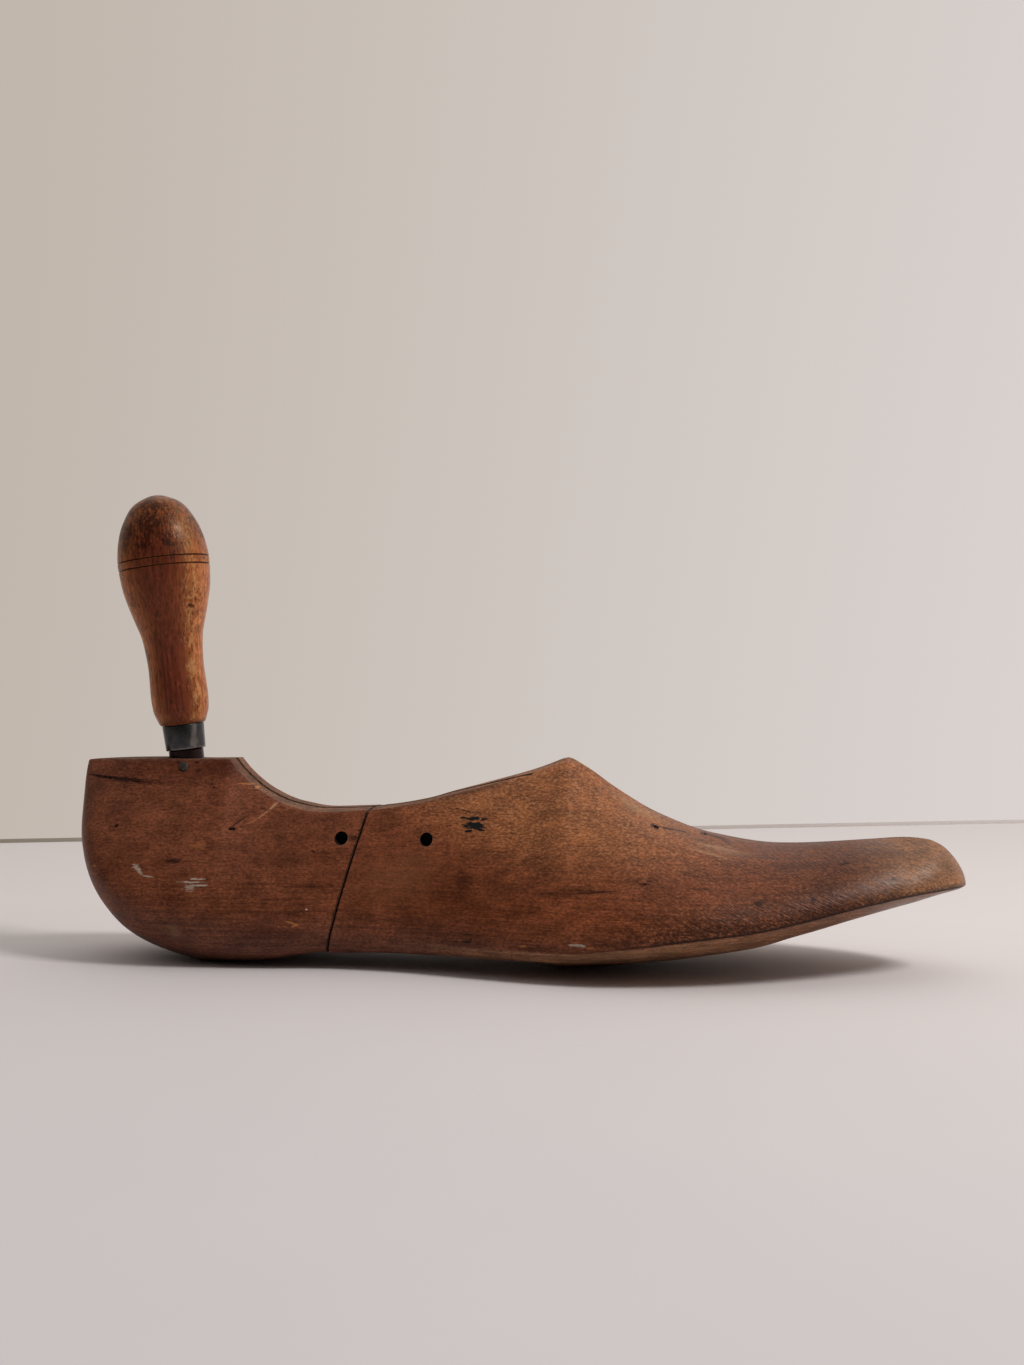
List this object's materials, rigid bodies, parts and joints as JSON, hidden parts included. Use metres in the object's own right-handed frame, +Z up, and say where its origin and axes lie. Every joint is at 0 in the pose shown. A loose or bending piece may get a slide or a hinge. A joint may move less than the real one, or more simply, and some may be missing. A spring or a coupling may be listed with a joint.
{
  "type": "cobbler last",
  "caption": "Hinged wooden shoe last for a right shoe: toe and heel halves joined by a flat steel link in a saw slot, with a turned handle on a steel spindle in the heel.",
  "frame": {"origin": "centre of the underside of the bounding box, on the surface that the last stands on", "axes": "+X from the heel to the toe, +Y to the inner side of the foot, +Z up"},
  "size_m": [0.2876, 0.0864, 0.1528],
  "materials": {
    "last_wood": "aged beech, oiled and handled, red-brown with a satin shine on the toe",
    "grip_wood": "turned hardwood, worn varnish with dark grime at the crown",
    "pin_steel": "dull grey mild steel, filed",
    "dark_steel": "dark oxidised steel, worn bright on the edges"
  },
  "bodies": {
    "forepart": {"fore_block": "last_wood", "front_hinge_pin": "pin_steel"},
    "link": {"hinge_link": "pin_steel"},
    "heel": {"heel_block": "last_wood", "rear_hinge_pin": "pin_steel", "handle_pin": "pin_steel", "handle_spindle": "dark_steel", "ferrule": "dark_steel", "grip": "grip_wood"}
  },
  "joints": [
    {"name": "front_pivot", "type": "hinge", "parent": "forepart", "child": "link", "pos_m": [-0.02485, 0, 0.0407], "axis": [0, 1, 0], "range_deg": [0, 80]},
    {"name": "rear_pivot", "type": "hinge", "parent": "link", "child": "heel", "pos_m": [-0.05245, 0, 0.0407], "axis": [0, 1, 0], "range_deg": [-32, 0]}
  ],
  "couplings": [
    {"joint": "rear_pivot", "follows": "front_pivot", "ratio": -0.4}
  ]
}
